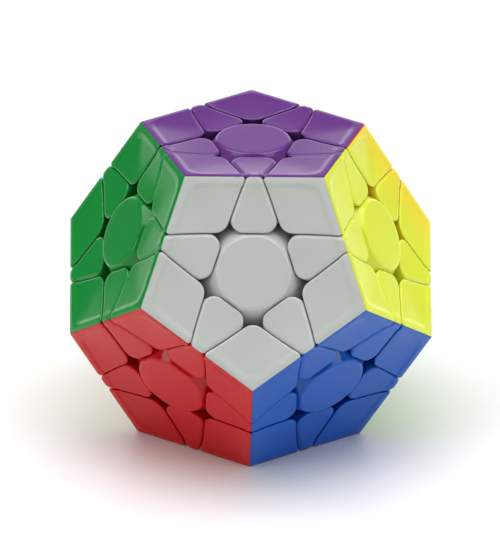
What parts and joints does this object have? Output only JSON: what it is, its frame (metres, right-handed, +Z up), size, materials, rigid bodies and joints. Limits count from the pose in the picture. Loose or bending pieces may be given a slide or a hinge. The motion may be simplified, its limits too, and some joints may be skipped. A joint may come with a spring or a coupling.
{
  "type": "dodecahedron twisty puzzle",
  "caption": "Stickerless dodecahedral twisty puzzle with dished coloured faces, whose layers of centre, edge and corner pieces turn about a core with sprung screws.",
  "frame": {"origin": "centre of the pink face that the puzzle stands on; the puzzle's own centre, where all turning axes meet, is straight above it", "axes": "+Z up through the purple face; the white face looks towards -Y and upwards; +X is to the right when facing the white face"},
  "size_m": [0.0838, 0.088, 0.0713],
  "materials": {
    "purple_plastic": "glossy moulded",
    "white_plastic": "glossy moulded",
    "yellow_plastic": "glossy moulded",
    "orange_plastic": "glossy moulded",
    "sky_plastic": "glossy moulded",
    "green_plastic": "glossy moulded",
    "blue_plastic": "glossy moulded",
    "lime_plastic": "glossy moulded",
    "grey_plastic": "glossy moulded",
    "cream_plastic": "glossy moulded",
    "red_plastic": "glossy moulded",
    "pink_plastic": "glossy moulded",
    "core_black": "satin moulded",
    "screw_steel": "zinc plated",
    "spring_steel": "drawn wire"
  },
  "bodies": {
    "root": {"core": "core_black", "screw_yellow": "screw_steel", "spring_yellow": "spring_steel", "screw_green": "screw_steel", "spring_green": "spring_steel", "screw_pink": "screw_steel", "spring_pink": "spring_steel", "edge_purple_white": "purple_plastic", "edge_purple_orange": "purple_plastic", "edge_purple_sky": "purple_plastic", "edge_white_blue": "white_plastic", "edge_white_red": "white_plastic", "edge_orange_sky": "orange_plastic", "edge_orange_lime": "orange_plastic", "edge_orange_grey": "orange_plastic", "edge_sky_grey": "sky_plastic", "edge_sky_cream": "sky_plastic", "edge_blue_lime": "blue_plastic", "edge_blue_red": "blue_plastic", "edge_lime_grey": "lime_plastic", "edge_grey_cream": "grey_plastic", "edge_cream_red": "cream_plastic", "corner_purple_orange_sky": "purple_plastic", "corner_white_blue_red": "white_plastic", "corner_orange_sky_grey": "orange_plastic", "corner_orange_lime_grey": "orange_plastic", "corner_sky_grey_cream": "sky_plastic"},
    "yellow_layer": {"centre_yellow": "yellow_plastic", "edge_purple_yellow": "purple_plastic", "edge_white_yellow": "white_plastic", "edge_yellow_orange": "yellow_plastic", "edge_yellow_blue": "yellow_plastic", "edge_yellow_lime": "yellow_plastic", "corner_purple_white_yellow": "purple_plastic", "corner_purple_yellow_orange": "purple_plastic", "corner_white_yellow_blue": "white_plastic", "corner_yellow_orange_lime": "yellow_plastic", "corner_yellow_blue_lime": "yellow_plastic"},
    "green_layer": {"centre_green": "green_plastic", "edge_purple_green": "purple_plastic", "edge_white_green": "white_plastic", "edge_sky_green": "sky_plastic", "edge_green_cream": "green_plastic", "edge_green_red": "green_plastic", "corner_purple_white_green": "purple_plastic", "corner_purple_sky_green": "purple_plastic", "corner_white_green_red": "white_plastic", "corner_sky_green_cream": "sky_plastic", "corner_green_cream_red": "green_plastic"},
    "pink_layer": {"centre_pink": "pink_plastic", "edge_blue_pink": "blue_plastic", "edge_lime_pink": "lime_plastic", "edge_grey_pink": "grey_plastic", "edge_cream_pink": "cream_plastic", "edge_red_pink": "red_plastic", "corner_blue_lime_pink": "blue_plastic", "corner_blue_red_pink": "blue_plastic", "corner_lime_grey_pink": "lime_plastic", "corner_grey_cream_pink": "grey_plastic", "corner_cream_red_pink": "cream_plastic"}
  },
  "joints": [
    {"name": "yellow_turn", "type": "hinge", "parent": "root", "child": "yellow_layer", "pos_m": [0, 0, 0.03563], "axis": [0.8507, -0.2764, 0.4472], "continuous": true},
    {"name": "green_turn", "type": "hinge", "parent": "root", "child": "green_layer", "pos_m": [0, 0, 0.03563], "axis": [-0.8507, -0.2764, 0.4472], "continuous": true},
    {"name": "pink_turn", "type": "hinge", "parent": "root", "child": "pink_layer", "pos_m": [0, 0, 0.03563], "axis": [0, 0, -1], "continuous": true}
  ]
}
